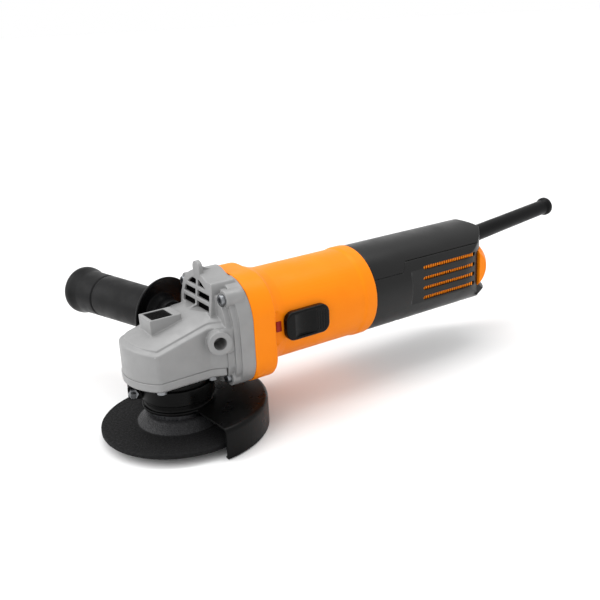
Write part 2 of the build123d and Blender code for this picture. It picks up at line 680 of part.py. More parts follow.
def fan_baffle():
    """Ring that turns the cooling air out through the gear head."""
    return tube_x(FAN_ROOM_R - FIT, 17.0, BAFFLE_X0, BAFFLE_X0 + 1.8)


def stator_core():
    """Field laminations, flattened at the sides, with the bore for the armature."""
    core = rod_x(BORE_R - FIT, CORE_X0, CORE_X1)
    core &= block(CORE_X0, CORE_X1, -STATOR_FLAT_Y, STATOR_FLAT_Y, -40, 40)
    window = rod_x(21.0, CORE_X0 - 1, CORE_X1 + 1) & block(CORE_X0 - 1, CORE_X1 + 1, -40, 40, -9, 9)
    core -= rod_x(ARMATURE_R + 0.5, CORE_X0 - 1, CORE_X1 + 1) + window
    for z in (-STATOR_BOLT_Z, STATOR_BOLT_Z):
        core -= rod_x(1.9, CORE_X0 - 1, CORE_X1 + 1, z=z)
    return core


def stator_windings():
    """Two field coils that bulge out of both ends of the stack."""
    coils = []
    for side in (-1, 1):
        end_turns = turned_x((0, 16.5), (6, 16.5), (6, 20.8), (0, 20.8))
        half = block(-1, 8, -30, 30, *sorted((side * 4, side * 30)))
        coils.append(Pos(CORE_X0 - 6.1, 0, 0) * (end_turns & half))
        coils.append(Pos(CORE_X1 + 0.1, 0, 0) * (end_turns & half))
    return coils


def stator_screws():
    screw = socket_screw(1.8, 3.0, 2.4, CORE_X1 - CORE_X0 + 4, 1.4)
    return [Pos(CORE_X1, 0, z) * Rot(0, 90, 0) * screw for z in (-STATOR_BOLT_Z, STATOR_BOLT_Z)]


def bearing_x(outer, inner, width, x0, balls=8):
    """A ball bearing on the motor axis, starting at x0."""
    outer_ring, inner_ring, set_of_balls = ball_bearing(inner, outer, width, balls)
    place = Pos(x0 + width / 2, 0, 0) * Rot(0, 90, 0)
    return [place * solid for solid in [outer_ring] + set_of_balls], place * inner_ring


def carbon_brushes():
    brush = block(BRUSH_X - 3.2, BRUSH_X + 3.2, -2.2, 2.2, COMMUTATOR_R + 0.15, 20.0)
    return [brush, mirror(brush, Plane.XY)]


def brush_holders():
    holders = []
    for side in (-1, 1):
        box = block(BRUSH_X - 4.6, BRUSH_X + 4.6, -3.6, 3.6, *sorted((side * 13.0, side * 25.0)))
        tunnel = block(BRUSH_X - 3.3, BRUSH_X + 3.3, -2.3, 2.3, *sorted((side * 10.0, side * 24.2)))
        holders.append(box - tunnel)
    return holders


def brush_springs():
    return [rod_z(1.8, *sorted((side * 20.1, side * 24.1)), BRUSH_X) for side in (-1, 1)]


# ---------------------------------------------------------------- motor housing and switch

def band_section(grow=0.0):
    return section(BAND_HALF + grow, BAND_HALF + grow, FLANGE_TOP_R + grow, FLANGE_BOTTOM_R + grow)


def motor_housing():
    band = prism_x(band_section(), FLANGE_X1, BAND_END_X)
    band = fillet(band.faces().sort_by(Axis.X)[-1].edges(), BAND_END_R)
    start = BAND_END_X - 4
    flare_end = BAND_END_X + 10
    barrel = turned_x((start, 0), (start, BARREL_R), (126.5, BARREL_R + 0.2), (129.0, BARREL_R + 1.0),
                      (BARREL_END_X - 1.0, BARREL_R + 1.0), (BARREL_END_X, BARREL_R + 0.4), (BARREL_END_X, 0))
    flare = turned_x((start, 0), (start, 36.0), (BAND_END_X, 33.8), (BAND_END_X + 4.5, 31.8),
                     (flare_end, BARREL_R), (flare_end, 0))
    body = band + barrel + (flare & prism_x(band_section(-1.2), start, flare_end))
    body -= rod_x(BORE_R, FLANGE_X1 - 1, BARREL_END_X + 1)
    body -= rod_x(FAN_ROOM_R, FLANGE_X1 - 1, BAFFLE_X0 + 1.8)
    # carrier of the rear bearing, inside the tail
    body += tube_x(CARRIER_R, CARRIER_R - 2.2, BARREL_END_X - 8, CARRIER_X1)
    body += tube_x(CARRIER_R, SLEEVE_OUT_R, CARRIER_X1 - 2.2, CARRIER_X1)
    body += tube_x(SLEEVE_OUT_R + 2.2, SLEEVE_OUT_R, REAR_BEARING_X0 - 0.5, CARRIER_X1)
    body += tube_x(BORE_R + 0.2, CARRIER_R - 0.5, BARREL_END_X - 8, BARREL_END_X - 4)
    for i in range(8):
        vent = rod_x(3.6, CARRIER_X1 - 4, CARRIER_X1 + 1, z=18.5)
        body -= Rot(22.5 + 45 * i, 0, 0) * vent
    # switch pocket, the slot under it and the channel of the switch rod
    pocket = block(SWITCH_X0, SWITCH_X1, -45, -30.2, -10.8, 10.8)
    body -= fillet(pocket.edges().filter_by(Axis.Y), 3.0)
    body -= block(66.0 - 1.2, 83.0, -40, -20, -4.2, 4.2)
    body -= block(BARREL_END_X - 9, CARRIER_X1 + 1, -BORE_R, -22, -4.2, 4.2)
    for y, z in four(FLANGE_SCREW_Y, FLANGE_SCREW_Z):
        lug = rod_x(4.4, FLANGE_X1, LUG_X1, y, z) & prism_x(band_section(), FLANGE_X1, LUG_X1)
        body += lug - rod_x(FAN_ROOM_R, 0, 60)
        body -= rod_x(2.0 + FIT, FLANGE_X1 - 1, LUG_X1 - 1.4, y, z)
    return body


def switch_slider():
    """Thumb slide with rounded ends and a ribbed dish."""
    face_y = -35.4
    pad = block(SLIDER_X0, SLIDER_X1, face_y, -31.1, -SLIDER_HALF_Z, SLIDER_HALF_Z)
    pad = fillet(pad.edges().filter_by(Axis.Y), 6.0)
    pad = fillet(pad.faces().sort_by(Axis.Y)[0].edges(), 1.4)
    middle = (SLIDER_X0 + SLIDER_X1) / 2 + 1
    dish = Pos(middle - 3, face_y - 17.0, 0) * Cylinder(19.0, 15.0)
    pad -= dish
    for i in range(4):
        pad -= rod_z(0.5, -6.0, 6.0, middle + 5.5 + 2.0 * i, face_y - 0.1)
    neck = block(72.0, 81.6, -31.2, ROD_OUT_Y, -3.2, 3.2)
    return pad + neck


def switch_rod():
    bar = block(66.6, ROD_END_X, ROD_OUT_Y, ROD_OUT_Y + 1.6, -3.0, 3.0)
    fork = block(ROD_END_X - 4, ROD_END_X, ROD_OUT_Y, -20.5, -2.0, 2.0)
    return bar + fork


def switch_body():
    body = block(ROD_END_X + 7.0, ROD_END_X + 30, -23.0, -9.0, -8.5, 8.5)
    body = chamfer(body.edges().filter_by(Axis.X), 0.8)
    return body + block(ROD_END_X + 1.4, ROD_END_X + 7.2, -22.0, -19.0, -1.6, 1.6)


# ---------------------------------------------------------------- tail

def tail_plan(shrink):
    """The tail seen from above: straight sides and an elliptical end."""
    half = TAIL_R - shrink + TAIL_CLEAR
    straight = Rectangle(TAIL_ROUND_X - 120, 2 * half, align=(Align.MAX, Align.CENTER))
    end = Ellipse(TAIL_END_X - TAIL_ROUND_X - shrink, PANEL_Y - shrink)
    shoulder = Polyline((-12, half), (0, PANEL_Y - shrink), (0, shrink - PANEL_Y), (-12, -half), close=True)
    straight = Pos(-12, 0, 0) * straight + make_face(shoulder)
    return Pos(TAIL_ROUND_X, 0, 0) * (straight + end)


def tail_form(shrink):
    """The tail's outer form, or its hollow when shrink is more than 0."""
    bar = rod_x(TAIL_R - shrink, BARREL_END_X, TAIL_END_X - shrink)
    half = TAIL_R - shrink + TAIL_CLEAR
    side = Rectangle(TAIL_END_X - shrink - 120, 2 * half, align=(Align.MAX, Align.CENTER))
    side = fillet(side.vertices().filter_by(lambda v: v.X > -1), TAIL_CORNER_R)
    side = Pos(TAIL_END_X - shrink, 0, 0) * side
    form = bar & extrude(tail_plan(shrink), 60, both=True)
    return form & extrude(Plane.XZ * side, 60, both=True)


def flat_sides(x0, half_y):
    """Blocks that flatten the tail's two sides from x0 back."""
    return [block(x0, TAIL_END_X + 10, *sorted((side * half_y, side * 45)), -40, 40) for side in (-1, 1)]


def tail_shell():
    shell = tail_form(0)
    for side in (-1, 1):
        panel = block(PANEL_X0, TAIL_END_X + 10, *sorted((side * PANEL_Y, side * 45)), -14.5, 16.5)
        shell -= panel
    room = tail_form(TAIL_WALL)
    for cut in flat_sides(PANEL_X0 - 3, PANEL_Y - TAIL_WALL + 0.5):
        room -= cut
    shell -= room
    shell -= rod_x(TAIL_R - TAIL_WALL, BARREL_END_X - 1, BARREL_END_X + 1)
    for z in SLOT_Z:
        for side in (-1, 1):
            slot = block(SLOT_X0, SLOT_X1, *sorted((side * 22, side * 35)), z - SLOT_HALF, z + SLOT_HALF)
            shell -= fillet(slot.edges().filter_by(Axis.Y), SLOT_HALF * 0.9)
    shell -= block(INSERT_X0, TAIL_END_X + 10, -40, 40, INSERT_BOTTOM_Z, INSERT_TOP_Z)
    lip = loft([Pos(0, 0, z) * tail_plan(-reach) for z, reach in LIP], ruled=True)
    shell += (lip & block(INSERT_X0, TAIL_END_X + 10, -24, 24, -40, 40)) - room
    for x, y in TAIL_SCREWS:
        post = rod_z(4.2, -40, 40, x, y) & tail_form(TAIL_WALL - 0.5)
        shell += post
    return shell - sleeve_room()


def above_seam(gap):
    """Everything above the stepped parting line, lifted by gap."""
    line = [(120, SEAM_LOW_Z + gap), (SEAM_STEP_X, SEAM_LOW_Z + gap), (SEAM_STEP_X + 5, SEAM_HIGH_Z + gap),
            (280, SEAM_HIGH_Z + gap), (280, 60), (120, 60)]
    return extrude(Plane.XZ * make_face(Polyline(*line, close=True)), 60, both=True)


def tail_screw_holes(clear):
    """Screw holes, with the counterbores of the heads from below."""
    holes = []
    for x, y in TAIL_SCREWS:
        floor = -sqrt(TAIL_R ** 2 - y ** 2)
        holes.append(rod_z(1.5 + clear, floor - 1, TAIL_SCREW_TOP_Z + 2 * clear, x, y))
        holes.append(rod_z(3.0 + clear, floor - 1, TAIL_HEAD_Z, x, y))
    return holes


def rear_cover_upper():
    cover = tail_shell() & above_seam(0.03)
    for y in (-CORD_CLAMP_Y, CORD_CLAMP_Y):
        post = block(CORD_CLAMP_X - 3.5, CORD_CLAMP_X + 3.5, y - 2.8, y + 2.8, CORD_CLAMP_Z + 2.6, 40)
        cover += post & tail_form(TAIL_WALL - 0.5)
        cover -= rod_z(1.4 + FIT, 0, CORD_CLAMP_Z + 10.3, CORD_CLAMP_X, y)
    for hole in tail_screw_holes(FIT):
        cover -= hole
    return cover


def rear_cover_lower():
    cover = tail_shell() - above_seam(0)
    for hole in tail_screw_holes(FIT):
        cover -= hole
    return cover


def tail_screws():
    screws = []
    for x, y in TAIL_SCREWS:
        head = rod_z(3.0, TAIL_HEAD_Z - 2.2, TAIL_HEAD_Z - 0.02, x, y)
        head -= Pos(x, y, TAIL_HEAD_Z - 2.2) * (Box(0.9, 4.0, 1.8) + Box(4.0, 0.9, 1.8))
        screws.append(head + rod_z(1.5, TAIL_HEAD_Z - 0.5, TAIL_SCREW_TOP_Z, x, y))
    return screws


def vent_insert():
    """Orange liner: a thin wall behind the slots that ends in the bowed rear window."""
    low = INSERT_BOTTOM_Z + 0.1
    high = INSERT_TOP_Z - 0.1
    band = block(LINER_X0, TAIL_END_X + 10, -40, 40, low, high)
    outer = tail_form(TAIL_WALL + 0.1)
    inner = tail_form(TAIL_WALL + 1.3)
    for cut in flat_sides(120, PANEL_Y - TAIL_WALL):
        outer -= cut
    for cut in flat_sides(120, PANEL_Y - TAIL_WALL - 1.2):
        inner -= cut
    rise = (high - low) / 4
    bows = (0.3, 0.8 * INSERT_BOW, INSERT_BOW, 0.8 * INSERT_BOW, 0.3)
    window = loft([Pos(0, 0, low + rise * i) * tail_plan(-bow) for i, bow in enumerate(bows)])
    window &= block(INSERT_X0 + 0.15, TAIL_END_X + 10, -26, 26, -40, 40)
    insert = (outer & band) + window - inner
    return insert - sleeve_room()


def sleeve_place():
    """Frame at the tail's end, its Z along the strain relief."""
    rise = radians(SLEEVE_RISE)
    return Plane(origin=(SLEEVE_X, 0, SLEEVE_Z), x_dir=(0, 1, 0), z_dir=(cos(rise), 0, sin(rise)))


def sleeve_room():
    """Hole that the strain relief needs in the tail, wider round its seat."""
    seat = Pos(0, 0, -13.0) * Cylinder(SLEEVE_SEAT_R + 2 * FIT, 7.0)
    return sleeve_place() * (seat + Pos(0, 0, -2) * Cylinder(SLEEVE_R + 0.15, 30))


def cord_sleeve():
    """Strain relief with a seat in the tail, a slight taper and a flared mouth."""
    root = -14.0
    seat = [(CORD_R, root), (SLEEVE_SEAT_R, root), (SLEEVE_SEAT_R, root + 4), (SLEEVE_R, root + 4)]
    mouth = [(SLEEVE_R - 0.4, SLEEVE_LENGTH - 5.5), (7.0, SLEEVE_LENGTH - 4.3), (7.2, SLEEVE_LENGTH - 3.6),
             (7.2, SLEEVE_LENGTH - 0.8), (6.6, SLEEVE_LENGTH), (CORD_R, SLEEVE_LENGTH)]
    return sleeve_place() * turned_z(*seat, (SLEEVE_R, 2.0), *mouth)


def cord_clamp():
    bar = block(CORD_CLAMP_X - 3.5, CORD_CLAMP_X + 3.5, -13, 13, CORD_CLAMP_Z, CORD_CLAMP_Z + 2.5)
    for y in (-CORD_CLAMP_Y, CORD_CLAMP_Y):
        bar -= rod_z(1.4 + FIT, 0, 30, CORD_CLAMP_X, y)
    return fillet(bar.edges().filter_by(Axis.Z), 1.5)


def cord_clamp_screws():
    screws = []
    for y in (-CORD_CLAMP_Y, CORD_CLAMP_Y):
        screw = rod_z(2.5, CORD_CLAMP_Z - 2.0, CORD_CLAMP_Z - 0.02, CORD_CLAMP_X, y)
        screws.append(screw + rod_z(1.4, CORD_CLAMP_Z - 1, CORD_CLAMP_Z + 10, CORD_CLAMP_X, y))
    return screws


def capacitor():
    can = block(186, 204, 8, 20, -7, 7)
    return fillet(can.edges().filter_by(Axis.X), 2.0)


# ---------------------------------------------------------------- side handle

def side_handle_grip():
    """Tapered grip with a ring groove and a flared end, and the dished hand flange."""
    profile = [(THREAD_R + FIT, 0.2), (9.5, 0.2), (10.5, 6.0), (13.0, 11.4), (19.5, 10.2), (24.0, 6.6),
               (24.6, 7.0), (24.6, 8.4), (21.0, 12.2), (15.0, 14.6), (14.0, 16.0), (14.3, 20.0),
               (14.9, 68.6), (14.3, 69.3), (14.3, 70.1), (15.0, 70.8), (15.3, 89.0), (16.9, 94.0),
               (17.0, 97.0), (15.9, 100.0), (12.0, 102.0), (0, 102.8), (0, 44.0), (THREAD_R + FIT, 44.0)]
    return boss_frame(1) * turned_z(*profile)


def side_handle_stud():
    return boss_frame(1) * rod_z(THREAD_R - 0.02, -THREAD_DEPTH + 0.6, 43.0)


# ---------------------------------------------------------------- all sub-parts

def main():
    spindle_rings = ball_bearing(SPINDLE_R + FIT, BEARING_R, BEARING_WIDTH, 9)
    place = Pos(0, 0, BEARING_TOP_Z - BEARING_WIDTH / 2)
    front_outer, front_inner = bearing_x(FRONT_BEARING_R, FRONT_SHAFT_R + FIT, 8.0, FRONT_BEARING_X0)
    rear_outer, rear_inner = bearing_x(9.5, REAR_SHAFT_R + FIT, 6.0, REAR_BEARING_X0, 7)

    save("gear_housing", gear_housing())
    save("bearing_cap", bearing_cap())
    save("bearing_cap_screws", *cap_screws())
    save("gear_housing_screws", *flange_screws())
    save("lock_button", lock_button())
    save("lock_pin", lock_pin())
    save("lock_spring", lock_spring())
    save("spindle", spindle())
    save("crown_gear", crown_gear())
    save("gear_circlip", gear_circlip())
    save("spindle_bush", tube_z(BUSH_R, 4.0 + RUN, -0.9, SPINDLE_TOP_Z + 0.4))
    save("spindle_bearing_outer", place * spindle_rings[0], *[place * ball for ball in spindle_rings[2]])
    save("spindle_bearing_inner", place * spindle_rings[1])
    save("spindle_seal", tube_z(SEAL_R, 8.0 + 0.06, -30.0, -25.0))
    save("inner_flange", inner_flange())
    save("grinding_disc", grinding_disc())
    save("flange_nut", flange_nut())
    save("wheel_guard", wheel_guard())
    save("guard_band", guard_band())
    save("guard_clamp_screw", guard_clamp_screw())
    save("guard_clamp_nut", guard_clamp_nut())
    save("armature_shaft", armature_shaft())
    save("pinion", pinion())
    save("pinion_nut", pinion_nut())
    save("armature_core", armature_core())
    save("armature_windings", *armature_windings())
    save("commutator", commutator())
    save("cooling_fan", cooling_fan())
    save("fan_baffle", fan_baffle())
    save("front_bearing_outer", *front_outer)
    save("front_bearing_inner", front_inner)
    save("rear_bearing_outer", *rear_outer)
    save("rear_bearing_inner", rear_inner)
    save("rear_bearing_sleeve", tube_x(SLEEVE_OUT_R - FIT, 9.5 + FIT, REAR_BEARING_X0, REAR_BEARING_X1))
    save("stator_core", stator_core())
    save("stator_windings", *stator_windings())
    save("stator_screws", *stator_screws())
    save("carbon_brushes", *carbon_brushes())
    save("brush_holders", *brush_holders())
    save("brush_springs", *brush_springs())
    save("motor_housing", motor_housing())
    save("switch_slider", switch_slider())
    save("switch_rod", switch_rod())
    save("switch_body", switch_body())
    save("rear_cover_upper", rear_cover_upper())
    save("rear_cover_lower", rear_cover_lower())
    save("rear_cover_screws", *tail_screws())
    save("vent_insert", vent_insert())
    save("cord_sleeve", cord_sleeve())
    save("cord_clamp", cord_clamp())
    save("cord_clamp_screws", *cord_clamp_screws())
    save("capacitor", capacitor())
    save("side_handle_grip", side_handle_grip())
    save("side_handle_stud", side_handle_stud())


main()
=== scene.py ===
import json
from math import cos, pi, radians, sin

import bmesh
import bpy
from mathutils import Matrix, Vector


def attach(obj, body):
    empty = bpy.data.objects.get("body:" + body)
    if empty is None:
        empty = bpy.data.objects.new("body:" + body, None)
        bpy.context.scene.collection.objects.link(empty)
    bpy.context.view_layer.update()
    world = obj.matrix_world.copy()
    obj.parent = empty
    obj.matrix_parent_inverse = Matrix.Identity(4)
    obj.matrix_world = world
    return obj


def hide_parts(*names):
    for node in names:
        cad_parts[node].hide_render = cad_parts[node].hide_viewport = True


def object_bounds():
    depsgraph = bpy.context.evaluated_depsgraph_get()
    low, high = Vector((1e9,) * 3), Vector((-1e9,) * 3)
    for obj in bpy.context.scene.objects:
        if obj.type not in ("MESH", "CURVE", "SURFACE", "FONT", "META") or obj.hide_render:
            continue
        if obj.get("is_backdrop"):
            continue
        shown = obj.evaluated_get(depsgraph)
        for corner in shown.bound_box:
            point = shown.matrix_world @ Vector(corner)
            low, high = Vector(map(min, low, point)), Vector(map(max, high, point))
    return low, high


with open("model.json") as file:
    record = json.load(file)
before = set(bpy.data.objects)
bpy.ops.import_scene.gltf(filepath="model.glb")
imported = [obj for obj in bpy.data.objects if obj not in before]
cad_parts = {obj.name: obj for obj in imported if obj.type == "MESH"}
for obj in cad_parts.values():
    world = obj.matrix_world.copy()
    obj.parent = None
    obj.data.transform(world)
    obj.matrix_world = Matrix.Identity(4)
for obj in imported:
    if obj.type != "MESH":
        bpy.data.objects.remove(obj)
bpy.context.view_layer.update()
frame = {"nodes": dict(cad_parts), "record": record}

MM = 0.001
AXIS_Z = 58.0                       # height of the motor axis over the row's origin, in mm
BAR_PITCH = 2.15                    # spacing of the upright bars behind the tail's slots, in mm


# ---------------------------------------------------------------- material building blocks

class Shader:
    """A Principled material whose colour, roughness and bump come from procedural nodes."""

    def __init__(self, name, colour, roughness=0.5, metallic=0.0, **fixed):
        self.material = bpy.data.materials.new(name)
        self.material.use_nodes = True
        self.tree = self.material.node_tree
        self.bsdf = self.tree.nodes["Principled BSDF"]
        self.coords = self.node("ShaderNodeTexCoord").outputs["Object"]
        self.bsdf.inputs["Metallic"].default_value = metallic
        for socket, value in fixed.items():
            self.bsdf.inputs[socket.replace("_", " ")].default_value = value
        self.base = linear(colour)
        self.colour_out = None
        self.rough = roughness
        self.bump_out = None

    def node(self, kind, **settings):
        made = self.tree.nodes.new(kind)
        for key, value in settings.items():
            setattr(made, key, value)
        return made

    def link(self, out, into):
        self.tree.links.new(out, into)

    def noise(self, scale, detail=4.0, rough=0.55, stretch=None):
        source = self.coords
        if stretch:
            mapping = self.node("ShaderNodeMapping")
            mapping.inputs["Scale"].default_value = stretch
            self.link(source, mapping.inputs["Vector"])
            source = mapping.outputs["Vector"]
        made = self.node("ShaderNodeTexNoise")
        made.inputs["Scale"].default_value = scale
        made.inputs["Detail"].default_value = detail
        made.inputs["Roughness"].default_value = rough
        self.link(source, made.inputs["Vector"])
        return made.outputs["Fac"]

    def cells(self, scale):
        made = self.node("ShaderNodeTexVoronoi", feature="F1")
        made.inputs["Scale"].default_value = scale
        self.link(self.coords, made.inputs["Vector"])
        return made.outputs["Distance"]

    def ramp(self, source, low, high, out_low=0.0, out_high=1.0):
        made = self.node("ShaderNodeMapRange")
        limits = {"From Min": low, "From Max": high, "To Min": out_low, "To Max": out_high}
        for socket, value in limits.items():
            made.inputs[socket].default_value = value
        self.link(source, made.inputs["Value"])
        return made.outputs["Result"]

    def edges(self, start=0.53, end=0.62):
        """1 on sharp outer edges, 0 elsewhere."""
        geometry = self.node("ShaderNodeNewGeometry")
        return self.ramp(geometry.outputs["Pointiness"], start, end)

    def vector(self, operation, source, value, out="Vector"):
        made = self.node("ShaderNodeVectorMath", operation=operation)
        self.link(source, made.inputs[0])
        if value is not None:
            made.inputs[1].default_value = value
        return made.outputs[out]

    def times(self, first, second):
        made = self.node("ShaderNodeMath", operation="MULTIPLY")
        self.link(first, made.inputs[0])
        self.link(second, made.inputs[1])
        return made.outputs["Value"]

    def from_point(self, point):
        """Coordinates measured from a point given in mm over the motor axis."""
        x, y, z = point
        return self.vector("SUBTRACT", self.coords, (x * MM, y * MM, (z + AXIS_Z) * MM))

    def within(self, centre, half, fade=0.06):
        """1 inside an ellipsoid with the given half axes in mm; a half axis of 0 leaves it open."""
        scale = [1 / (value * MM) if value else 0 for value in half]
        scaled = self.vector("MULTIPLY", self.from_point(centre), scale)
        return self.ramp(self.vector("LENGTH", scaled, None, "Value"), 1 + fade, 1)

    def past(self, point, direction, fade=0.3):
        """1 on the far side of a plane through the point, in mm."""
        reach = self.vector("DOT_PRODUCT", self.from_point(point), direction, "Value")
        return self.ramp(reach, 0, fade * MM)

    def stripes(self, point, direction, pitch, share):
        """Bands square to a direction, 1 over a share of each pitch in mm."""
        reach = self.vector("DOT_PRODUCT", self.from_point(point), direction, "Value")
        wrap = self.node("ShaderNodeMath", operation="PINGPONG")
        wrap.inputs[1].default_value = pitch / 2 * MM
        self.link(reach, wrap.inputs[0])
        edge = pitch / 2 * share * MM
        return self.ramp(wrap.outputs["Value"], edge * 1.15, edge * 0.85)

    def tint(self, mask, colour, strength=1.0):
        """Mix a second colour into the base where mask is 1."""
        mix = self.node("ShaderNodeMix", data_type="RGBA")
        factor = self.ramp(mask, 0.0, 1.0, 0.0, strength)
        self.link(factor, mix.inputs["Factor"])
        if self.colour_out is None:
            mix.inputs["A"].default_value = self.base
        else:
            self.link(self.colour_out, mix.inputs["A"])
        mix.inputs["B"].default_value = linear(colour)
        self.colour_out = mix.outputs["Result"]

    def bump(self, height, distance, strength=1.0):
        made = self.node("ShaderNodeBump")
        made.inputs["Distance"].default_value = distance * MM
        made.inputs["Strength"].default_value = strength
        self.link(height, made.inputs["Height"])
        if self.bump_out is not None:
            self.link(self.bump_out, made.inputs["Normal"])
        self.bump_out = made.outputs["Normal"]

    def done(self, rough_source=None, spread=0.1, polished=None):
        """Join everything to the shader and give back the material; polished marks glossier places."""
        if rough_source is not None:
            rough = self.ramp(rough_source, 0.3, 0.7, self.rough - spread, self.rough + spread)
            if polished is not None:
                rough = self.times(rough, self.ramp(polished, 0, 1, 1, 0.45))
            self.link(rough, self.bsdf.inputs["Roughness"])
        else:
            self.bsdf.inputs["Roughness"].default_value = self.rough
        if self.colour_out is not None:
            self.link(self.colour_out, self.bsdf.inputs["Base Color"])
        else:
            self.bsdf.inputs["Base Color"].default_value = self.base
        if self.bump_out is not None:
            self.link(self.bump_out, self.bsdf.inputs["Normal"])
        return self.material


def linear(code):
    """Scene colour of an sRGB hex code."""
    parts = [int(code[i:i + 2], 16) / 255 for i in (1, 3, 5)]
    return tuple(c / 12.92 if c <= 0.04045 else ((c + 0.055) / 1.055) ** 2.4 for c in parts) + (1.0,)


# ---------------------------------------------------------------- materials

def cast_metal():
    """Bead-blasted, lacquered aluminium casting."""
    shader = Shader("cast_aluminium", "#8a8a8a", 0.48, 0.2)
    shader.tint(shader.ramp(shader.noise(60, 5), 0.4, 0.65), "#808080", 0.5)
    shader.tint(shader.edges(), "#b8b8b8", 0.5)
    # Painted shade: inside the arch, behind its leaning front wall, the air duct is coloured near black.
    arch = shader.within((0, 0, 20), (0, 17.5, 15.6))
    behind_arch_front = shader.past((18.0, 0, 10), (1, 0, -0.14))
    shader.tint(shader.times(arch, behind_arch_front), "#050505")
    shader.bump(shader.noise(900, 3), 0.05, 0.5)
    shader.bump(shader.noise(220, 3), 0.08, 0.35)
    return shader.done(shader.noise(160, 4), 0.09)


def moulded(name, colour, darker, edge_highlight, rough, grain=1400, gloss=0.22, bar_gap_shade=False):
    """Injection-moulded plastic with a fine spark-eroded grain and a painted highlight on its edges; the
    last flag adds dark stripes of painted shade between the bars behind the tail's slots.
    """
    shader = Shader(name, colour, rough, Specular_IOR_Level=gloss)
    shader.tint(shader.ramp(shader.noise(30, 4), 0.42, 0.62), darker, 0.5)
    # Painted highlight: sharp edges are lightened as if they catch the light.
    shader.tint(shader.edges(0.54, 0.66), edge_highlight, 0.45)
    if bar_gap_shade:
        # Painted shade: dark stripes in the gaps between the bars behind the tail's slots, up to the tail's
        # end.
        bars = shader.stripes((182, 0, 0), (1, 0, 0), BAR_PITCH, 0.5)
        before_tail_end = shader.past((236, 0, 0), (-1, 0, 0))
        shader.tint(shader.times(bars, before_tail_end), "#1c0d05", 0.95)
    shader.bump(shader.noise(grain, 2), 0.035, 0.55)
    return shader.done(shader.noise(70, 5), 0.08)


def black_lacquer():
    """Semi-gloss lacquer on pressed and cast steel, with orange peel and rubbed edges."""
    shader = Shader("black_lacquer", "#030303", 0.32, Specular_IOR_Level=0.1)
    shader.tint(shader.ramp(shader.noise(50, 5), 0.45, 0.65), "#090909", 0.6)
    shader.tint(shader.edges(0.58, 0.75), "#222324", 0.4)
    shader.bump(shader.noise(420, 2), 0.05, 0.45)
    return shader.done(shader.noise(90, 4), 0.08)


def steel(name, colour, rough, stretch=None):
    """Turned or plated steel with fine tool marks."""
    shader = Shader(name, colour, rough, 0.95)
    shader.tint(shader.ramp(shader.noise(120, 5), 0.4, 0.7), "#2c2b2a", 0.25)
    shader.tint(shader.edges(), "#9a9c9f", 0.35)
    shader.bump(shader.noise(500, 3, stretch=stretch), 0.02, 0.5)
    return shader.done(shader.noise(300, 4, stretch=stretch), 0.1)


def abrasive():
    """Resin-bonded grit, dark with fine cells and lighter specks."""
    shader = Shader("abrasive", "#080808", 0.72, Specular_IOR_Level=0.16)
    shader.tint(shader.ramp(shader.cells(1100), 0.05, 0.45), "#111112", 0.75)
    shader.tint(shader.ramp(shader.noise(900, 2), 0.62, 0.72), "#2c2c2d", 0.6)
    # Painted highlight: the raised hub and its cone, inside 27 mm radius, are lightened in patches as if
    # lit; the same mask also makes them glossier.
    cone = shader.within((0, 0, 0), (27, 27, 0), 0.02)
    shader.tint(shader.times(cone, shader.noise(500, 3)), "#4a4a4c", 0.55)
    shader.bump(shader.cells(1100), 0.25, 0.75)
    shader.bump(shader.noise(260, 3), 0.12, 0.5)
    return shader.done(shader.noise(700, 3), 0.16, cone)


def rubber(name, colour, rough, grain):
    """Textured rubber, slightly dusty in patches."""
    shader = Shader(name, colour, rough, Specular_IOR_Level=0.13)
    shader.tint(shader.ramp(shader.noise(45, 5), 0.45, 0.7), "#0c0c0d", 0.5)
    shader.bump(shader.cells(grain), 0.06, 0.5)
    shader.bump(shader.noise(grain * 0.8, 2), 0.04, 0.5)
    return shader.done(shader.noise(110, 4), 0.1)


def copper():
    """Enamelled wire."""
    shader = Shader("copper_wire", "#9c4f22", 0.34, 0.85)
    shader.tint(shader.ramp(shader.noise(400, 3), 0.4, 0.6), "#6e3314", 0.6)
    shader.bump(shader.noise(700, 2, stretch=(1, 6, 6)), 0.15, 0.6)
    return shader.done(shader.noise(200, 3), 0.1)


MATERIALS = {
    "gear_case_metal": cast_metal(),
    "housing_orange": moulded("orange_plastic", "#ee8208", "#ea7a03", "#f79c3c", 0.42, gloss=0.12),
    "vent_orange": moulded("vent_orange", "#f08206", "#e87803", "#f59a3a", 0.42, gloss=0.12, bar_gap_shade=True),
    "tail_black": moulded("black_plastic", "#030303", "#080808", "#2c2c2d", 0.36, gloss=0.3),
    "black_paint": black_lacquer(),
    "steel": steel("bright_steel", "#7e8083", 0.34),
    "black_steel": steel("dark_steel", "#3c3d3f", 0.36),
    "abrasive": abrasive(),
    "grip_rubber": rubber("grip_rubber", "#040405", 0.42, 1200),
    "sleeve_rubber": rubber("sleeve_rubber", "#040405", 0.38, 1500),
    "switch_black": moulded("switch_plastic", "#030303", "#060606", "#1a1a1b", 0.24, 1800, 0.14),
    "lock_plastic": moulded("lock_plastic", "#040404", "#070707", "#141414", 0.6, 1800, 0.05),
    "copper": copper(),
    "laminations": steel("laminations", "#5b5d60", 0.5, (60, 1, 1)),
    "carbon": rubber("carbon", "#242425", 0.6, 900),
    "brass_holder": steel("brass", "#a8843f", 0.3),
    "mark_red": moulded("mark_red", "#8c1208", "#7a0e06", "#b03020", 0.42),
    "inner_plastic": moulded("inner_plastic", "#26272a", "#2f3033", "#47484b", 0.5),
}


# ---------------------------------------------------------------- carried-over CAD pieces

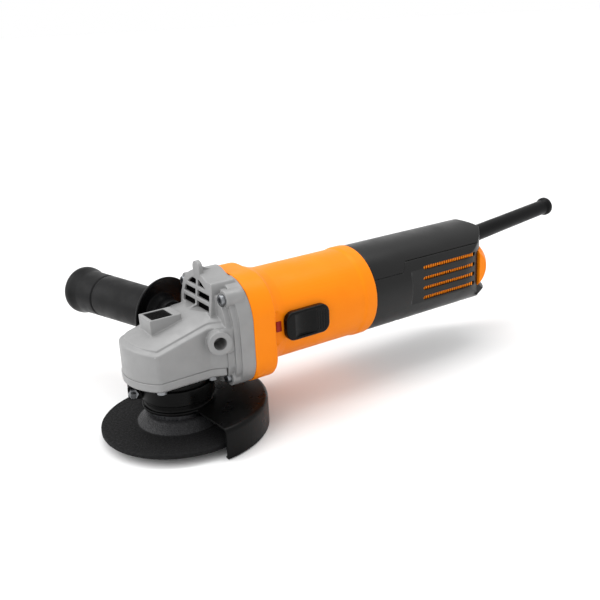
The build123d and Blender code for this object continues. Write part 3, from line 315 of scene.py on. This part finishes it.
def soften(node, voxel, passes):
    """Round a CAD piece's edges as casting or moulding does."""
    piece = frame["nodes"][node]
    remesh = piece.modifiers.new("rounding", "REMESH")
    remesh.mode = "VOXEL"
    remesh.voxel_size = voxel * MM
    remesh.use_smooth_shade = True
    smooth = piece.modifiers.new("softening", "SMOOTH")
    smooth.factor = 0.5
    smooth.iterations = passes


for entry in frame["record"]["subparts"]:
    piece = frame["nodes"][entry["node"]]
    piece.data.materials.clear()
    piece.data.materials.append(MATERIALS[entry["material_slot"]])

OWN_LOOKS = {
    "vent_insert": "vent_orange",
    "lock_button": "lock_plastic",
    "gear_housing_screws": "steel",
    "bearing_cap_screws": "steel",
}
for name, look in OWN_LOOKS.items():
    frame["nodes"][name].data.materials[0] = MATERIALS[look]

# node: (voxel in mm, smoothing passes)
ROUNDED = {
    "gear_housing": (0.3, 4),
    "bearing_cap": (0.3, 4),
    "motor_housing": (0.55, 5),
    "rear_cover_upper": (0.45, 3),
    "rear_cover_lower": (0.45, 3),
    "vent_insert": (0.4, 3),
    "wheel_guard": (0.42, 3),
    "switch_slider": (0.22, 3),
    "guard_band": (0.3, 3),
}
COARSE = 1.0
for name, (voxel, passes) in ROUNDED.items():
    soften(name, voxel * COARSE, passes)


# ---------------------------------------------------------------- pieces built here

def as_piece(name, mesh, slot, body, *replaced):
    """Put a finished mesh in the scene, riding on a body and standing for CAD nodes."""
    data = bpy.data.meshes.new(name)
    mesh.normal_update()
    mesh.to_mesh(data)
    mesh.free()
    piece = bpy.data.objects.new(name, data)
    bpy.context.collection.objects.link(piece)
    data.materials.append(MATERIALS[slot])
    for face in data.polygons:
        face.use_smooth = True
    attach(piece, body)
    if replaced:
        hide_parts(*replaced)
    return piece


def lathe(profile, turns=128):
    """Closed surface of revolution about Z from (radius, height) points in mm.

    A profile that starts and ends at radius 0 is closed there; any other is closed end to start.
    """
    mesh = bmesh.new()
    rings = []
    for radius, height in profile:
        if radius == 0:
            rings.append([mesh.verts.new((0, 0, height * MM))])
            continue
        ring = []
        for i in range(turns):
            angle = 2 * pi * i / turns
            ring.append(mesh.verts.new((radius * cos(angle) * MM, radius * sin(angle) * MM, height * MM)))
        rings.append(ring)
    meets_axis = profile[0][0] == 0
    following = rings[1:] if meets_axis else rings[1:] + rings[:1]
    for first, second in zip(rings, following):
        for i in range(turns):
            j = (i + 1) % turns
            if len(first) == 1:
                corners = (first[0], second[j], second[i])
            elif len(second) == 1:
                corners = (first[i], first[j], second[0])
            else:
                corners = (first[i], first[j], second[j], second[i])
            mesh.faces.new(corners)
    bmesh.ops.recalc_face_normals(mesh, faces=mesh.faces)
    return mesh


def eased(profile, reach=0.8, steps=3):
    """The profile with each corner rounded by a small arc that starts at most reach mm from it."""
    closed = profile[0][0] != 0
    count = len(profile)
    smooth = []
    for i, (r, z) in enumerate(profile):
        if not closed and i in (0, count - 1):
            smooth.append((r, z))
            continue
        before = Vector(profile[i - 1])
        after = Vector(profile[(i + 1) % count])
        here = Vector((r, z))
        start = here + (before - here).normalized() * min(reach, (before - here).length * 0.45)
        end = here + (after - here).normalized() * min(reach, (after - here).length * 0.45)
        for k in range(steps + 1):
            t = k / steps
            point = start * (1 - t) ** 2 + here * 2 * t * (1 - t) + end * t ** 2
            smooth.append((point.x, point.y))
    return smooth


def box_mesh(mesh, low, high, bevel=0.0):
    """Add a bevelled box between two corners, in mm."""
    made = bmesh.ops.create_cube(mesh, size=1.0)
    for vert in made["verts"]:
        for axis in range(3):
            middle = (low[axis] + high[axis]) / 2
            vert.co[axis] = (middle + vert.co[axis] * (high[axis] - low[axis])) * MM
    if bevel:
        edges = list({edge for vert in made["verts"] for edge in vert.link_edges})
        bmesh.ops.bevel(mesh, geom=edges, offset=bevel * MM, segments=2, affect="EDGES", profile=0.5)


def moved(mesh, origin, direction):
    """Turn a mesh's Z to a direction and carry it to an origin in mm over the motor axis."""
    turn = Vector((0, 0, 1)).rotation_difference(Vector(direction)).to_matrix().to_4x4()
    place = Matrix.Translation(Vector((origin[0], origin[1], origin[2] + AXIS_Z)) * MM)
    bmesh.ops.transform(mesh, matrix=place @ turn, verts=mesh.verts)
    return mesh


def side_handle():
    """Grip with a rounded end, a groove, a dished flange and a blind bore for the stud."""
    lean = radians(15)
    end = [(0, 103.2), (9.0, 102.9), (14.2, 101.6), (16.4, 99.6), (17.0, 97.4), (16.9, 94.6), (16.0, 91.4)]
    barrel = [(15.3, 88.0), (15.0, 78.0), (14.95, 71.2), (14.3, 70.6), (14.3, 69.6), (14.9, 69.0)]
    barrel += [(14.6, 45.0), (14.3, 20.0), (14.0, 16.6)]
    flange = [(15.2, 14.6), (21.0, 12.2), (24.2, 9.0), (24.7, 7.6), (24.2, 6.7), (19.5, 10.2), (13.4, 11.4)]
    neck = [(10.6, 6.0), (9.6, 0.25)]
    bore = [(4.2, 0.25), (4.2, 6.0), (0, 6.0)]
    mesh = lathe(eased(end + barrel + flange + neck + bore, 0.9))
    moved(mesh, (15.9, 32.3, 1.2), (-sin(lean), cos(lean), 0))
    as_piece("handle_grip", mesh, "grip_rubber", "housing", "side_handle_grip")


def strain_relief():
    """Hollow rubber sleeve with a collar inside the tail and a flared end."""
    rise = radians(6)
    collar = [(3.6, -14), (7.8, -14), (7.8, -10), (6.2, -10)]
    sleeve = [(6.2, 2), (6.0, 30), (5.8, 76.3)]
    flared_end = [(6.1, 77.0), (6.9, 77.7), (7.2, 78.4), (7.2, 80.8), (6.6, 82), (4.4, 82), (3.6, 81.2)]
    mesh = lathe(eased(collar + sleeve + flared_end, 0.5), 72)
    moved(mesh, (262, 0, 17.4), (cos(rise), 0, sin(rise)))
    as_piece("strain_relief", mesh, "sleeve_rubber", "housing", "cord_sleeve")


def grinding_disc():
    """Depressed-centre wheel with a gritty face; both flat faces are cut into rings for the grit."""
    top, rim, hub = -47.6, -53.8, -51.0
    thick = 3.0
    bore_r, cone_r, edge_r = 8.02, 28.2, 49.6
    rings = 40
    profile = [(bore_r, top), (20.5, top), (22.0, top - 0.5), (26.6, rim + 0.5), (cone_r, rim)]
    profile += [(cone_r + 21.2 * i / rings, rim) for i in range(1, rings + 1)]
    profile += [(50, rim - 0.5), (50, rim - 2.6), (edge_r, rim - thick)]
    profile += [(edge_r - 23.2 * i / rings, rim - thick) for i in range(1, rings + 1)]
    profile += [(24.6, rim - 2.4), (20.2, hub), (bore_r, hub)]
    mesh = lathe(profile, 360)
    moved(mesh, (0, 0, 0), (0, 0, 1))
    disc = as_piece("abrasive_disc", mesh, "abrasive", "spindle_unit", "grinding_disc")
    grit = bpy.data.textures.new("grit", "VORONOI")
    grit.noise_scale = 0.9 * MM
    grit.distance_metric = "DISTANCE"
    rough = disc.modifiers.new("grit", "DISPLACE")
    rough.texture = grit
    rough.texture_coords = "LOCAL"
    rough.strength = 0.18 * MM
    rough.mid_level = 0.6


def vent_mesh():
    """Fine upright bars behind the tail's slots, on both sides."""
    mesh = bmesh.new()
    slot_heights = (12.3, 4.6, -2.8, -10.0)
    first_x, bars, width, half_height = 182.9, 23, 1.0, 1.4
    for side in (-1, 1):
        inner, outer = sorted((side * 26.1, side * 27.1))
        for slot_z in slot_heights:
            z = slot_z + AXIS_Z
            for i in range(bars):
                x = first_x + BAR_PITCH * i
                box_mesh(mesh, (x, inner, z - half_height), (x + width, outer, z + half_height), 0.12)
    as_piece("vent_bars", mesh, "housing_orange", "housing")


def switch_mark():
    """Small moulded on/off tab beside the slide switch."""
    mesh = bmesh.new()
    box_mesh(mesh, (56.4, -31.0, -2.6 + AXIS_Z), (60.2, -30.1, 4.2 + AXIS_Z), 0.3)
    as_piece("switch_mark", mesh, "mark_red", "housing")


side_handle()
strain_relief()
grinding_disc()
vent_mesh()
switch_mark()


# ---------------------------------------------------------------- stage, light and camera

def light(kind, name, place, power, **settings):
    """A lamp aimed at the middle of the tool."""
    data = bpy.data.lights.new(name, kind)
    data.energy = power
    for key, value in settings.items():
        setattr(data, key, value)
    lamp = bpy.data.objects.new(name, data)
    bpy.context.collection.objects.link(lamp)
    lamp.location = place
    lamp.rotation_euler = (Vector((0.1, 0, 0.06)) - Vector(place)).to_track_quat("-Z", "Y").to_euler()


def stage():
    """Pale floor, white world, one broad sun and a soft lamp overhead."""
    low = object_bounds()[0]
    bpy.ops.mesh.primitive_plane_add(size=60, location=(0.1, 0, low[2] - 0.0004))
    floor = bpy.context.object
    floor.name = "floor"
    shader = Shader("floor_paper", "#e7e7e7", 0.9, Specular_IOR_Level=0.2)
    shader.tint(shader.noise(3, 2), "#e4e4e4", 0.5)
    floor.data.materials.append(shader.done())
    floor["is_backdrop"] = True
    world = bpy.data.worlds.new("studio")
    bpy.context.scene.world = world
    world.use_nodes = True
    background = world.node_tree.nodes["Background"]
    background.inputs["Color"].default_value = (1, 1, 1, 1)
    background.inputs["Strength"].default_value = 1.0
    light("SUN", "key", (-1.1, 0.4, 1.0), 1.75, angle=radians(70))
    light("AREA", "top", (0.15, 0.1, 0.8), 3, shape="RECTANGLE", size=0.9, size_y=0.2)


def camera():
    """Camera on the near side in front of the head, slightly rolled."""
    distance = 0.4235
    azimuth = radians(33.4)
    elevation = radians(19.4)
    roll = radians(-2.8)
    back = Vector((-sin(azimuth) * cos(elevation), -cos(azimuth) * cos(elevation), sin(elevation)))
    right = Vector((cos(azimuth), -sin(azimuth), 0))
    up = back.cross(right)
    turned_right = cos(roll) * right + sin(roll) * up
    turned_up = cos(roll) * up - sin(roll) * right
    target = Vector((33.65, -93.4, 41.1 + AXIS_Z)) * MM
    data = bpy.data.cameras.new("camera")
    data.sensor_width = 36.0
    data.lens = 47.99
    data.clip_start = 0.01
    made = bpy.data.objects.new("camera", data)
    bpy.context.collection.objects.link(made)
    frame_axes = Matrix((turned_right, turned_up, back)).transposed().to_4x4()
    made.matrix_world = Matrix.Translation(target + back * distance) @ frame_axes
    bpy.context.scene.camera = made


stage()
camera()
bpy.context.scene.view_settings.view_transform = "Standard"
